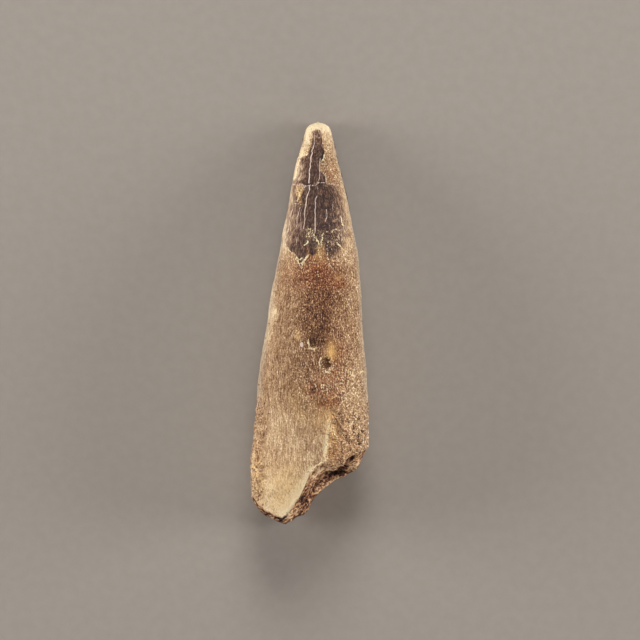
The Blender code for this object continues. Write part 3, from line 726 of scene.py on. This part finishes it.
def maths(tree, operation, first, second=0.0, third=0.0, clamp=False):
    sockets = {0: first, 1: second, 2: third}
    return addNode(tree, "ShaderNodeMath", sockets, operation=operation, use_clamp=clamp).outputs[0]


def plus(tree, first, amount, second):
    # the first times the amount, added to the second
    return maths(tree, "MULTIPLY_ADD", first, amount, second)


def times(tree, first, second, clamp=False):
    return maths(tree, "MULTIPLY", first, second, clamp=clamp)


def reading(tree, name):
    return addNode(tree, "ShaderNodeAttribute", attribute_name=name).outputs["Fac"]


def between(tree, low, high, value):
    # 0 at low and 1 at high, with a smooth S between them
    made = addNode(tree, "ShaderNodeMapRange", {"Value": value, "From Min": low, "From Max": high},
                   interpolation_type="SMOOTHSTEP")
    return made.outputs["Result"]


def colour(rgb):
    # screen values from 0 to 255 to linear light
    parts = [value / 255 for value in rgb]
    return tuple(p / 12.92 if p <= 0.04045 else ((p + 0.055) / 1.055) ** 2.4 for p in parts) + (1.0,)


def mixed(tree, factor, first, second, blend="MIX"):
    made = addNode(tree, "ShaderNodeMix", data_type="RGBA", blend_type=blend)
    for socket, value in ((made.inputs[0], factor), (made.inputs[6], first), (made.inputs[7], second)):
        if isinstance(value, bpy.types.NodeSocket):
            tree.links.new(value, socket)
        elif isinstance(value, tuple):
            socket.default_value = colour(value)
        else:
            socket.default_value = value
    return made.outputs[2]


def laidOn(tree, share, strength, below, above):
    # the colour above laid over the one below, by its share times its strength
    return mixed(tree, times(tree, share, strength), below, above)


def colourStops(tree, value, stops):
    made = addNode(tree, "ShaderNodeValToRGB", {"Fac": value})
    bar = made.color_ramp
    while len(bar.elements) < len(stops):
        bar.elements.new(0.5)
    for element, (place, rgb) in zip(bar.elements, stops):
        element.position = place
        element.color = colour(rgb)
    return made.outputs["Color"]


def newGroup(name, inputs, outputs):
    group = bpy.data.node_groups.new(name, "ShaderNodeTree")
    for label, kind, value in inputs:
        socket = group.interface.new_socket(label, in_out="INPUT", socket_type=kind)
        if value is not None:
            socket.default_value = value
    for label, kind in outputs:
        group.interface.new_socket(label, in_out="OUTPUT", socket_type=kind)
    return group, group.nodes.new("NodeGroupInput").outputs, group.nodes.new("NodeGroupOutput").inputs


def grainGroup():
    # mineral grain: fine noise drawn out along Y by the stretch, with broader mottling beside it
    group, given, result = newGroup(
        "mineralGrain",
        (("Vector", "NodeSocketVector", None), ("Size", "NodeSocketFloat", 5.0),
         ("Stretch", "NodeSocketFloat", 1.0)),
        (("Grain", "NodeSocketFloat"), ("Mottling", "NodeSocketFloat")))
    alongY = addNode(group, "ShaderNodeCombineXYZ", {0: 1.0, 1: given["Stretch"], 2: 1.0}).outputs[0]
    drawnOut = addNode(group, "ShaderNodeVectorMath", {0: given["Vector"], 1: alongY}, operation="MULTIPLY")
    fine = addNode(group, "ShaderNodeTexNoise", {
        "Vector": drawnOut.outputs[0], "Scale": given["Size"], "Detail": 2.0, "Roughness": 0.6})
    broad = addNode(group, "ShaderNodeTexNoise", {"Vector": given["Vector"], "Scale": 0.9, "Detail": 4.0})
    group.links.new(fine.outputs[0], result["Grain"])
    contrast = (0.25, 0.75)
    group.links.new(between(group, *contrast, broad.outputs[0]), result["Mottling"])
    return group


def fibreGroup():
    # fine lines along the tooth: noise drawn out along Y
    group, given, result = newGroup(
        "growthFibres",
        (("Vector", "NodeSocketVector", None), ("Size", "NodeSocketFloat", 4.0)),
        (("Fibres", "NodeSocketFloat"),))
    drawnOut = addNode(group, "ShaderNodeMapping", {"Vector": given["Vector"], "Scale": (1.0, 0.10, 1.0)})
    noise = addNode(group, "ShaderNodeTexNoise", {
        "Vector": drawnOut.outputs[0], "Scale": given["Size"], "Detail": 3.0, "Roughness": 0.6})
    contrast = (0.32, 0.68)
    group.links.new(between(group, *contrast, noise.outputs[0]), result["Fibres"])
    return group


mineralGrain = grainGroup()
growthFibres = fibreGroup()


def useGroup(tree, group, **values):
    # places a group and returns its outputs by name
    made = addNode(tree, "ShaderNodeGroup", node_tree=group)
    for key, value in values.items():
        if isinstance(value, bpy.types.NodeSocket):
            tree.links.new(value, made.inputs[key])
        else:
            made.inputs[key].default_value = value
    return made.outputs


def inMillimetres(tree):
    place = addNode(tree, "ShaderNodeTexCoord").outputs["Object"]
    scaled = addNode(tree, "ShaderNodeVectorMath", {0: place, "Scale": 1000.0}, operation="SCALE")
    return scaled.outputs["Vector"]


# Colours of the fossil, from 0 to 255; stops run from dark to light
look = {
    "enamelStops": ((0.00, (28, 14, 11)), (0.25, (62, 38, 29)), (0.45, (102, 72, 56)),
                    (0.70, (160, 130, 104)), (1.00, (226, 200, 166))),
    "crack": (240, 214, 198),
    "cream": (252, 230, 184),
    "toneStops": ((0.00, (34, 16, 8)), (0.20, (84, 50, 28)), (0.42, (138, 98, 66)),
                  (0.60, (180, 144, 108)), (0.80, (220, 186, 144)), (1.00, (254, 233, 194))),
    # the pale tint of the painted rim light on the steep flanks
    "veil": (198, 186, 166),
    "red": (160, 86, 42),
    "gold": (236, 184, 108),
    "pit": (80, 46, 22),
    "pore": (68, 32, 17),
    "breakStops": ((0.00, (18, 9, 7)), (0.25, (58, 33, 24)), (0.50, (124, 80, 56)),
                   (0.75, (200, 150, 108)), (1.00, (244, 212, 168))),
}

# How its patterns are mixed; a pair is where a mask is 0 and where it is full
pattern = {
    "crumbSize": 5.4,
    "dashSize": 8.6,
    "dashStretch": 0.55,
    "fibreSize": 8.0,
    "streakSize": 4.2,
    "fleckSize": 3.8,
    "patchSize": 2.6,
    "poreCells": 2.2,
    "specks": (0.28, 0.72),
    "mottling": 0.14,
    "paleGrains": (0.54, 0.66),
    "paleGrainTone": 0.40,
    "darkSpecks": (0.47, 0.35),
    "darkSpeckTone": -0.30,
    "rootTone": 0.49,
    "stripTone": 0.14,
    "rootFibres": 0.38,
    "fibresLostInGrit": -0.16,
    "redLostInSpecks": -0.5,
    "goldShare": 0.30,
    "goldMottling": 0.55,
    # how strongly the painted rim light tints the flanks, and how much the specks add to it
    "rimLightShare": 0.22,
    "rimLightSpecks": 0.50,
    "enamelTone": 0.16,
    "enamelFibres": 0.34,
    "enamelStreaks": 0.26,
    "enamelRagged": 0.55,
    "enamelEdge": (0.42, 0.58),
    "ringRagged": -0.05,
    "ringEdge": (0.075, 0.030),
    "ringStrength": 0.75,
    "crackRagged": 0.03,
    "crackEdge": (0.030, -0.010),
    "crackStrength": 0.88,
    "pitRagged": -0.9,
    "pitEdge": (0.35, 0.80),
    "pitStrength": 0.82,
    "fleckEdge": (0.57, 0.61),
    "fleckStrength": 0.85,
    "creamRagged": -0.11,
    "creamEdge": (0.05, -0.02),
    "creamStrength": 0.90,
    "poresChosen": (0.50, 0.56),
    "poreRagged": 0.25,
    "poreEdge": (0.46, 0.36),
    "poreStrength": 0.88,
    "breakTone": 0.60,
    # painted shade and light of the break: its hollows darker and its raised crumbs lighter by their height,
    # and the groove painted dark as shade
    "crumbShadeTone": 0.9,
    "grooveShadeTone": -0.50,
    "patches": (0.34, 0.66),
    "patchTone": 0.55,
    "breakSpeckTone": 0.28,
    "breakEdge": (0.25, 0.75),
    "roughness": 0.72,
    "enamelRoughness": -0.24,    # added to the roughness where there is enamel, and so on
    "speckRoughness": 0.10,
    "breakRoughness": 0.12,
    "specular": 0.25,
    "enamelRelief": -0.75,
    "fibreRelief": 0.5,
    "poreRelief": 2.5,
    "reliefDepth": 0.00008,      # in metres
}


def fossilSurface():
    material = bpy.data.materials.new("fossil_surface")
    material.use_nodes = True
    tree = material.node_tree
    shader = tree.nodes["Principled BSDF"]
    place = inMillimetres(tree)
    crumbly = useGroup(tree, mineralGrain, Vector=place, Size=pattern["crumbSize"], Stretch=1.0)
    drawnOut = useGroup(
        tree, mineralGrain, Vector=place, Size=pattern["dashSize"], Stretch=pattern["dashStretch"])
    fibres = useGroup(tree, growthFibres, Vector=place, Size=pattern["fibreSize"])["Fibres"]
    strip, crustArea, broken = (reading(tree, name) for name in ("strip", "crust", "broken"))

    # grains are round on the crust and on the break, and drawn out along the tooth elsewhere
    roundShare = maths(tree, "MAXIMUM", crustArea, broken)
    grainMix = addNode(tree, "ShaderNodeMix", {0: roundShare, 2: drawnOut["Grain"], 3: crumbly["Grain"]})
    fine = grainMix.outputs[0]
    mottling = crumbly["Mottling"]
    specks = between(tree, *pattern["specks"], fine)
    evenSpecks = maths(tree, "SUBTRACT", specks, 0.5)
    evenFibres = maths(tree, "SUBTRACT", fibres, 0.5)

    # how light each place is: its soft stains, then mottling, pale grains and dark specks
    tone = plus(tree, maths(tree, "SUBTRACT", mottling, 0.5), pattern["mottling"], reading(tree, "tone"))
    palest = times(tree, between(tree, *pattern["paleGrains"], fine), pattern["paleGrainTone"])
    speckled = plus(tree, between(tree, *pattern["darkSpecks"], fine), pattern["darkSpeckTone"], palest)
    tone = plus(tree, speckled, reading(tree, "grit"), tone)

    # root: its tone with fibres, then the red and gold stains, and the painted rim light of the steep flanks
    rootTone = plus(tree, strip, pattern["stripTone"], maths(tree, "ADD", tone, pattern["rootTone"]))
    fibreShare = plus(tree, reading(tree, "grit"), pattern["fibresLostInGrit"], pattern["rootFibres"])
    root = colourStops(tree, plus(tree, evenFibres, fibreShare, rootTone), look["toneStops"])
    thinned = plus(tree, specks, pattern["redLostInSpecks"], 1.0)
    redShare = times(tree, reading(tree, "red"), thinned, clamp=True)
    root = mixed(tree, redShare, root, look["red"], blend="OVERLAY")
    patchy = plus(tree, mottling, pattern["goldMottling"], pattern["goldShare"])
    goldShare = times(tree, reading(tree, "gold"), patchy, clamp=True)
    root = mixed(tree, goldShare, root, look["gold"])
    # painted rim light: the steep flanks are lightened, unevenly by the specks
    rimLightAmount = plus(tree, specks, pattern["rimLightSpecks"], pattern["rimLightShare"])
    root = laidOn(tree, reading(tree, "veil"), rimLightAmount, root, look["veil"])

    # enamel: darker, with broad and fine streaks along the tooth
    streaks = useGroup(tree, growthFibres, Vector=place, Size=pattern["streakSize"])["Fibres"]
    enamelTone = maths(tree, "ADD", tone, pattern["enamelTone"])
    enamelTone = plus(tree, evenFibres, pattern["enamelFibres"], enamelTone)
    enamelTone = plus(tree, streaks, pattern["enamelStreaks"], enamelTone)
    glaze = colourStops(tree, enamelTone, look["enamelStops"])
    edgeNoise = plus(tree, evenSpecks, pattern["enamelRagged"], reading(tree, "enamel"))
    covered = between(tree, *pattern["enamelEdge"], edgeNoise)
    surface = mixed(tree, covered, root, glaze)

    # cracks
    ringAway = plus(tree, evenSpecks, pattern["ringRagged"], reading(tree, "ring"))
    ringShare = times(tree, between(tree, *pattern["ringEdge"], ringAway), pattern["ringStrength"])
    crackAway = plus(tree, evenFibres, pattern["crackRagged"], reading(tree, "crack"))
    crackShare = maths(tree, "MAXIMUM", between(tree, *pattern["crackEdge"], crackAway), ringShare)
    surface = laidOn(tree, crackShare, pattern["crackStrength"], surface, look["crack"])

    # pits, flecks and ragged cream edges
    pitNoise = plus(tree, evenSpecks, pattern["pitRagged"], reading(tree, "pit"))
    inPit = between(tree, *pattern["pitEdge"], pitNoise)
    surface = laidOn(tree, inPit, pattern["pitStrength"], surface, look["pit"])
    fleckGrain = useGroup(tree, mineralGrain, Vector=place, Size=pattern["fleckSize"], Stretch=1.0)["Grain"]
    onFleck = between(tree, *pattern["fleckEdge"], fleckGrain)
    fleckShare = times(tree, onFleck, reading(tree, "fleck"), clamp=True)
    surface = laidOn(tree, fleckShare, pattern["fleckStrength"], surface, look["cream"])
    creamAway = plus(tree, evenSpecks, pattern["creamRagged"], reading(tree, "cream"))
    onCream = between(tree, *pattern["creamEdge"], creamAway)
    surface = laidOn(tree, onCream, pattern["creamStrength"], surface, look["cream"])

    # pores of the crust: some of the cells, each dark near its middle
    cells = addNode(tree, "ShaderNodeTexVoronoi", {
        "Vector": place, "Scale": pattern["poreCells"], "Randomness": 1.0})
    cellRed = addNode(tree, "ShaderNodeSeparateColor", {0: cells.outputs["Color"]}).outputs[0]
    chosen = between(tree, *pattern["poresChosen"], cellRed)
    poreAway = plus(tree, evenSpecks, pattern["poreRagged"], cells.outputs["Distance"])
    pores = times(tree, between(tree, *pattern["poreEdge"], poreAway), chosen)
    porous = times(tree, crustArea, reading(tree, "porous"))
    pores = times(tree, pores, porous, clamp=True)
    surface = laidOn(tree, pores, pattern["poreStrength"], surface, look["pore"])

    # the broken face: painted shade in its hollows and its groove, lighter on its raised crumbs, and speckled
    # all over
    coarse = useGroup(tree, mineralGrain, Vector=place, Size=pattern["patchSize"], Stretch=1.0)["Grain"]
    evenPatches = maths(tree, "SUBTRACT", between(tree, *pattern["patches"], coarse), 0.5)
    crumbShadeTone = plus(tree, reading(tree, "crumbs"), pattern["crumbShadeTone"], pattern["breakTone"])
    crumbShadeTone = plus(tree, reading(tree, "groove"), pattern["grooveShadeTone"], crumbShadeTone)
    crumbShadeTone = plus(tree, evenPatches, pattern["patchTone"], crumbShadeTone)
    crumbShadeTone = plus(tree, evenSpecks, pattern["breakSpeckTone"], crumbShadeTone)
    breakColour = colourStops(tree, crumbShadeTone, look["breakStops"])
    surface = mixed(tree, between(tree, *pattern["breakEdge"], broken), surface, breakColour)
    tree.links.new(surface, shader.inputs["Base Color"])

    # enamel is smoother than root, and root than the broken face
    rough = plus(tree, covered, pattern["enamelRoughness"], pattern["roughness"])
    rough = plus(tree, specks, pattern["speckRoughness"], rough)
    breakRough = times(tree, broken, pattern["breakRoughness"])
    tree.links.new(maths(tree, "ADD", rough, breakRough, clamp=True), shader.inputs["Roughness"])
    shader.inputs["Specular IOR Level"].default_value = pattern["specular"]

    # fine relief: specks outside the enamel, fibres all over, and sunken pores
    raised = times(tree, specks, plus(tree, covered, pattern["enamelRelief"], 1.0))
    raised = plus(tree, fibres, pattern["fibreRelief"], raised)
    raised = maths(tree, "SUBTRACT", raised, times(tree, pores, pattern["poreRelief"]))
    bump = addNode(tree, "ShaderNodeBump", {
        "Height": raised, "Strength": 1.0, "Distance": pattern["reliefDepth"]})
    tree.links.new(bump.outputs["Normal"], shader.inputs["Normal"])
    return material


# Loose mineral grains stuck to the crust and, more thinly, to the rest of the root
grains = {
    "count": 3000,
    "radius": (0.045, 0.13),
    "fewLarge": 3,               # power by which small grains outnumber large ones
    "reach": 1.4,                # the furthest corner of a grain, in radii
    "sunk": 0.35,
    "seed": 11,
    "onRoot": 0.03,              # how thickly they lie off the crust, and the Y where they begin
    "rootTop": (8.5, 6.0),
    "thinnerPorous": 0.75,       # what is taken off where the crust is porous, and on the bare strip
    "thinnerStrip": 0.92,
    "behind": 0.25,              # how thickly they lie on the hidden side
    "uneven": 0.28,
    "narrowest": 0.7,            # the least stretch of a grain, and what chance adds to it
    "stretch": 0.6,
    "tone": 0.18,                # darkest tone, what chance adds to it, and what the crust adds
    "toneChance": 0.46,
    "crustTone": 0.10,
    "speckSize": 9.0,
    "specks": 0.5,
    "roughness": 0.5,
    "stops": ((0.00, (56, 34, 22)), (0.25, (136, 92, 60)), (0.50, (184, 142, 104)),
              (0.80, (226, 192, 146)), (1.00, (248, 236, 214))),
    "keptInView": 5,             # how far off a hidden place counts as, when a larger grain is placed
    # X, Y, radius and lightness of the larger pale ones
    "largePale": ((6.72, -11.10, 0.13, 0.99), (6.60, -12.20, 0.16, 0.99), (6.49, -12.80, 0.12, 0.99),
                  (6.37, -13.66, 0.17, 0.99), (5.60, -13.66, 0.11, 0.95), (5.90, -13.20, 0.11, 0.95),
                  (3.94, -5.20, 0.08, 0.88), (4.20, -5.50, 0.08, 0.84), (4.84, -5.86, 0.09, 0.90),
                  (5.60, -5.40, 0.09, 0.88), (3.65, -6.30, 0.08, 0.84), (4.70, -6.76, 0.10, 0.88),
                  (3.92, -8.30, 0.10, 0.88), (4.10, -8.52, 0.07, 0.84), (5.40, -9.10, 0.09, 0.86),
                  (5.00, -8.85, 0.08, 0.84), (4.62, -9.56, 0.11, 0.90), (4.95, -9.92, 0.09, 0.86),
                  (3.34, -8.95, 0.08, 0.82), (5.80, -9.80, 0.10, 0.88), (3.90, -10.60, 0.09, 0.86),
                  (4.40, -11.10, 0.09, 0.84), (5.10, -12.10, 0.09, 0.86), (4.45, -12.80, 0.08, 0.82)),
}


def crumbShape():
    # the twelve corners and twenty faces of an icosahedron
    golden = (1 + math.sqrt(5)) / 2
    corners = np.array([(-1, golden, 0), (1, golden, 0), (-1, -golden, 0), (1, -golden, 0),
                        (0, -1, golden), (0, 1, golden), (0, -1, -golden), (0, 1, -golden),
                        (golden, 0, -1), (golden, 0, 1), (-golden, 0, -1), (-golden, 0, 1)])
    faces = np.array([(0, 11, 5), (0, 5, 1), (0, 1, 7), (0, 7, 10), (0, 10, 11), (1, 5, 9), (5, 11, 4),
                      (11, 10, 2), (10, 7, 6), (7, 1, 8), (3, 9, 4), (3, 4, 2), (3, 2, 6), (3, 6, 8),
                      (3, 8, 9), (4, 9, 5), (2, 4, 11), (6, 2, 10), (8, 6, 7), (9, 8, 1)])
    return corners / np.linalg.norm(corners[0]), faces


def buildGrains(wall, normals, field):
    # copies of one crumb: uneven, turned at random, and sunk into the surface along its normal
    random = np.random.default_rng(grains["seed"])
    y = wall[..., 1]
    hidden = 1 - field["front"]
    want = grains["onRoot"] * (1 - field["enamel"]) * smoothStep(*grains["rootTop"], y) * (1 - field["veil"])
    want = want + (1.0 - grains["thinnerPorous"] * np.minimum(field["porous"], 1)) * field["crust"]
    want = want * (1 - grains["thinnerStrip"] * field["strip"])
    want = want * (1 - (1 - grains["behind"]) * hidden)
    want[:2] = 0
    want[-2:] = 0
    around = np.linalg.norm(np.roll(wall, -1, axis=1) - wall, axis=-1)
    chance = (want * around).ravel()
    picked = random.choice(chance.size, grains["count"], replace=False, p=chance / chance.sum())
    places = wall.reshape(-1, 3)[picked]
    outwards = normals.reshape(-1, 3)[picked]
    small, large = grains["radius"]
    radius = small + (large - small) * random.random(grains["count"]) ** grains["fewLarge"]
    tone = grains["tone"] + grains["toneChance"] * random.random(grains["count"])
    tone = tone + grains["crustTone"] * field["crust"].ravel()[picked]

    for grainX, grainY, grainRadius, lightness in grains["largePale"]:
        away = np.hypot(wall[..., 0] - grainX, y - grainY) + grains["keptInView"] * hidden
        nearest = np.argmin(away)
        places = np.vstack((places, wall.reshape(-1, 3)[nearest]))
        outwards = np.vstack((outwards, normals.reshape(-1, 3)[nearest]))
        radius = np.append(radius, grainRadius)
        tone = np.append(tone, lightness)

    corners, faces = crumbShape()
    count, each = len(places), len(corners)
    uneven = corners[None] * (1 + grains["uneven"] * (random.random((count, each, 1)) - 0.5))
    uneven = uneven * (grains["narrowest"] + grains["stretch"] * random.random((count, 1, 3)))
    turn = np.linalg.qr(random.normal(size=(count, 3, 3)))[0]
    turn = turn * np.sign(np.linalg.det(turn))[:, None, None]
    shaped = np.einsum("nij,nkj->nki", turn, uneven) * radius[:, None, None]
    centres = places + outwards * (radius * (1 - 2 * grains["sunk"]))[:, None]
    reach = radius * grains["reach"]
    low, high = (np.array(corner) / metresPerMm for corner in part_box("tooth"))
    centres[:, 0] = np.clip(centres[:, 0], low[0] + reach, high[0] - reach)
    centres[:, 2] = np.clip(centres[:, 2], reach, high[2] - reach)
    points = (shaped + centres[:, None]).reshape(-1, 3)
    allFaces = (faces[None] + each * np.arange(count)[:, None, None]).reshape(-1, 3)
    piece = makeMesh("mineral_grains", points, allFaces, {"shade": np.repeat(tone, each)})
    print("grains:", count)
    return piece


def grainSurface():
    material = bpy.data.materials.new("mineral_grains")
    material.use_nodes = True
    tree = material.node_tree
    shader = tree.nodes["Principled BSDF"]
    grain = useGroup(tree, mineralGrain, Vector=inMillimetres(tree), Size=grains["speckSize"])["Grain"]
    shade = plus(tree, maths(tree, "SUBTRACT", grain, 0.5), grains["specks"], reading(tree, "shade"))
    tree.links.new(colourStops(tree, shade, grains["stops"]), shader.inputs["Base Color"])
    shader.inputs["Roughness"].default_value = grains["roughness"]
    return material


# The sheet of paper under the tooth
paper = {"halfWidth": 2000.0, "dark": (151, 142, 133), "light": (155, 146, 137), "patches": 2.0,
         "roughness": 0.9}


def buildFloor():
    # a pale, even sheet, wide enough to fill every view
    half = paper["halfWidth"]
    corners = np.array([(-half, -half, 0), (half, -half, 0), (half, half, 0), (-half, half, 0)])
    floor = makeMesh("floor", corners, np.array([(0, 1, 2, 3)]), {})
    material = bpy.data.materials.new("floor_paper")
    material.use_nodes = True
    tree = material.node_tree
    shader = tree.nodes["Principled BSDF"]
    mottling = useGroup(tree, mineralGrain, Vector=inMillimetres(tree), Size=paper["patches"])["Mottling"]
    tree.links.new(mixed(tree, mottling, paper["dark"], paper["light"]), shader.inputs["Base Color"])
    shader.inputs["Roughness"].default_value = paper["roughness"]
    floor.data.materials.append(material)


# Soft lights: name, place, size and power; each faces the tooth
lights = (
    ("tipLight", (0.02, 0.36, 0.26), 0.22, 1.40),
    ("leftLight", (-0.34, 0.02, 0.08), 0.18, 1.20),
    ("rightLight", (0.34, 0.02, 0.08), 0.18, 1.10),
    ("baseLight", (0.04, -0.36, 0.14), 0.20, 0.40),
)
studio = {"lightsFace": (0, 0, 0.005), "air": (205, 203, 200), "airStrength": 0.27}
camera = {"height": 700.0, "pixelsPerMm": 9.0, "opticalCentre": (1.17, 0.33), "level": 5.0, "sensor": 36.0,
          "framePixels": 640, "clip": (0.01, 5.0)}


def addLights():
    for name, place, size, power in lights:
        lamp = bpy.data.lights.new(name, "AREA")
        lamp.shape = "DISK"
        lamp.size = size
        lamp.energy = power
        lampObject = bpy.data.objects.new(name, lamp)
        lampObject.location = place
        towards = Vector(studio["lightsFace"]) - Vector(place)
        lampObject.rotation_euler = towards.to_track_quat("-Z", "Y").to_euler()
        bpy.context.scene.collection.objects.link(lampObject)
    world = bpy.data.worlds.new("studio")
    world.use_nodes = True
    background = world.node_tree.nodes["Background"].inputs
    background["Color"].default_value = colour(studio["air"])
    background["Strength"].default_value = studio["airStrength"]
    bpy.context.scene.world = world


def addCamera():
    # straight above the tooth, at the scale of the photograph's frame
    frameWidth = camera["framePixels"] / camera["pixelsPerMm"]
    made = bpy.data.cameras.new("camera")
    made.sensor_width = camera["sensor"]
    made.lens = camera["sensor"] * camera["height"] / frameWidth
    made.clip_start, made.clip_end = camera["clip"]
    cameraObject = bpy.data.objects.new("camera", made)
    x, y = camera["opticalCentre"]
    cameraObject.location = Vector((x, y, camera["level"] + camera["height"])) * metresPerMm
    bpy.context.scene.collection.objects.link(cameraObject)
    bpy.context.scene.camera = cameraObject


fineTooth, wall, wallNormals, wallField = buildTooth()
fineTooth.data.materials.append(fossilSurface())
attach(fineTooth, "root")
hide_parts("tooth")

mineralGrains = buildGrains(wall, wallNormals, wallField)
mineralGrains.data.materials.append(grainSurface())
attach(mineralGrains, "root")

buildFloor()
addLights()
addCamera()
bpy.context.scene.view_settings.view_transform = "Standard"
